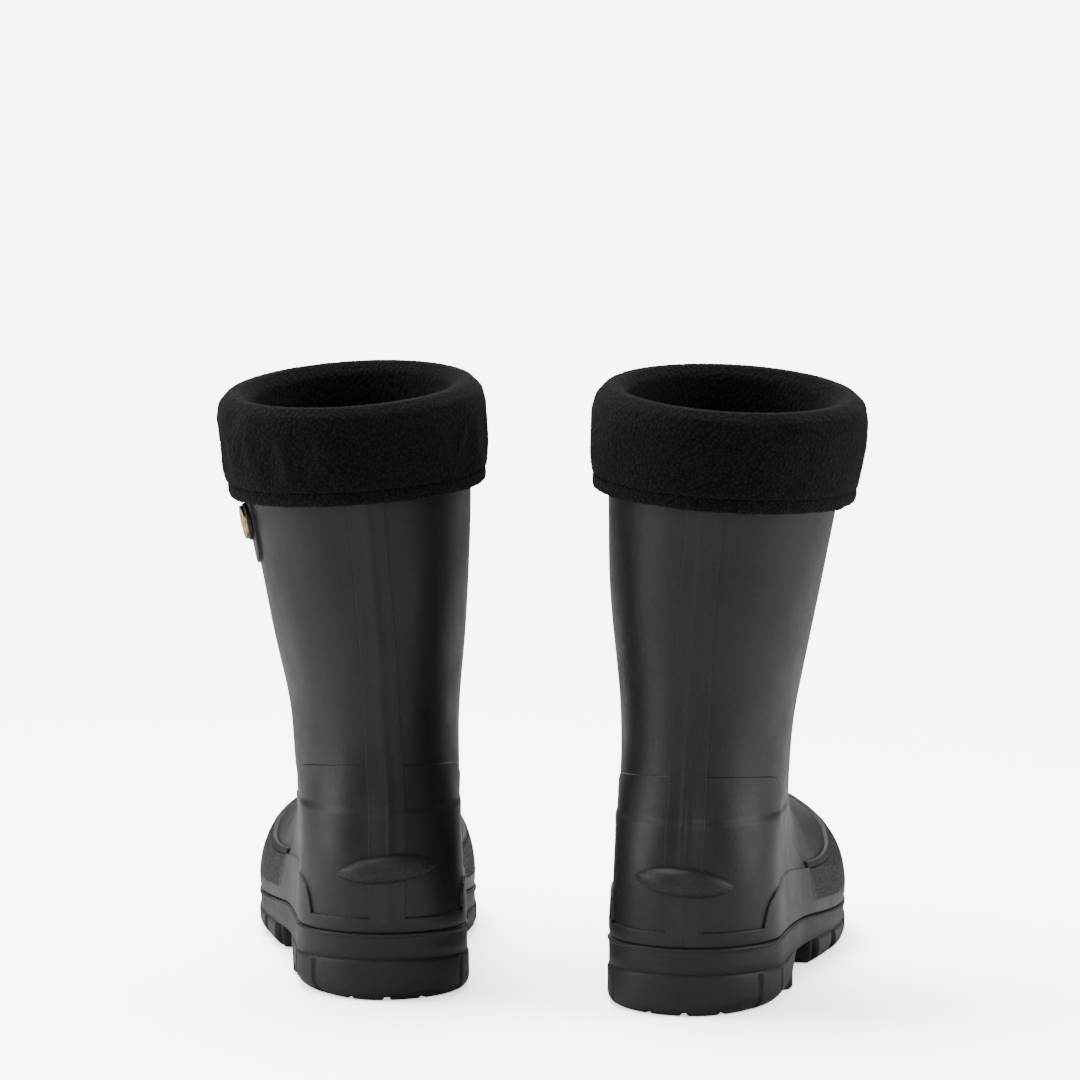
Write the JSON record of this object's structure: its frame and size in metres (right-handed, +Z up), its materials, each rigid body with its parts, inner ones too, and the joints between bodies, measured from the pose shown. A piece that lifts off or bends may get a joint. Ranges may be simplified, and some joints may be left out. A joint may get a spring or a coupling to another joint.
{
  "type": "rubber boots",
  "caption": "Pair of mid-calf rubber boots with back strips, kick-off lugs and lugged soles, and removable fleece liners whose cuffs turn down over the shaft tops.",
  "frame": {"origin": "centre of the pair's footprint box, on the ground", "axes": "+Z up, +Y from the heels towards the toes, +X towards the wearer's right"},
  "size_m": [0.3214, 0.3502, 0.3068],
  "materials": {
    "boot_rubber": "matt satin moulded rubber",
    "guard_rubber": "coarse stippled rubber",
    "sole_rubber": "matt moulded rubber",
    "badge_rubber": "smooth dark rubber",
    "footbed_felt": "felted fabric",
    "fleece": "nubby short-pile fleece",
    "brass": "satin embossed"
  },
  "bodies": {
    "left_boot": {"left_upper": "boot_rubber", "left_top_binding": "boot_rubber", "left_back_strip": "boot_rubber", "left_ankle_panel_lateral": "boot_rubber", "left_ankle_panel_medial": "boot_rubber", "left_kick_lug": "boot_rubber", "left_foxing_band": "boot_rubber", "left_toe_guard": "guard_rubber", "left_toe_guard_trim": "guard_rubber", "left_midsole": "sole_rubber", "left_heel_block": "sole_rubber", "left_forefoot_tread": "sole_rubber", "left_insole": "footbed_felt", "left_badge_tab": "boot_rubber", "left_badge_pad": "badge_rubber", "left_badge_emblem": "brass"},
    "right_boot": {"right_upper": "boot_rubber", "right_top_binding": "boot_rubber", "right_back_strip": "boot_rubber", "right_ankle_panel_lateral": "boot_rubber", "right_ankle_panel_medial": "boot_rubber", "right_kick_lug": "boot_rubber", "right_foxing_band": "boot_rubber", "right_toe_guard": "guard_rubber", "right_toe_guard_trim": "guard_rubber", "right_midsole": "sole_rubber", "right_heel_block": "sole_rubber", "right_forefoot_tread": "sole_rubber", "right_insole": "footbed_felt"},
    "left_liner": {"left_liner_leg": "fleece", "left_liner_foot": "fleece", "left_cuff": "fleece", "left_cuff_hem": "fleece"},
    "right_liner": {"right_liner_leg": "fleece", "right_liner_foot": "fleece", "right_cuff": "fleece", "right_cuff_hem": "fleece"}
  },
  "joints": [
    {"name": "right_boot_apart", "type": "slide", "parent": "left_boot", "child": "right_boot", "axis": [1, 0, 0], "range_m": [0, 0.2]},
    {"name": "left_liner_lift", "type": "slide", "parent": "left_boot", "child": "left_liner", "axis": [-0.0729, -0.007, 0.9973], "range_m": [0, 0.29], "deforming": ["left_liner_foot"]},
    {"name": "right_liner_lift", "type": "slide", "parent": "right_boot", "child": "right_liner", "axis": [0.0721, -0.0127, 0.9973], "range_m": [0, 0.29], "deforming": ["right_liner_foot"]}
  ]
}
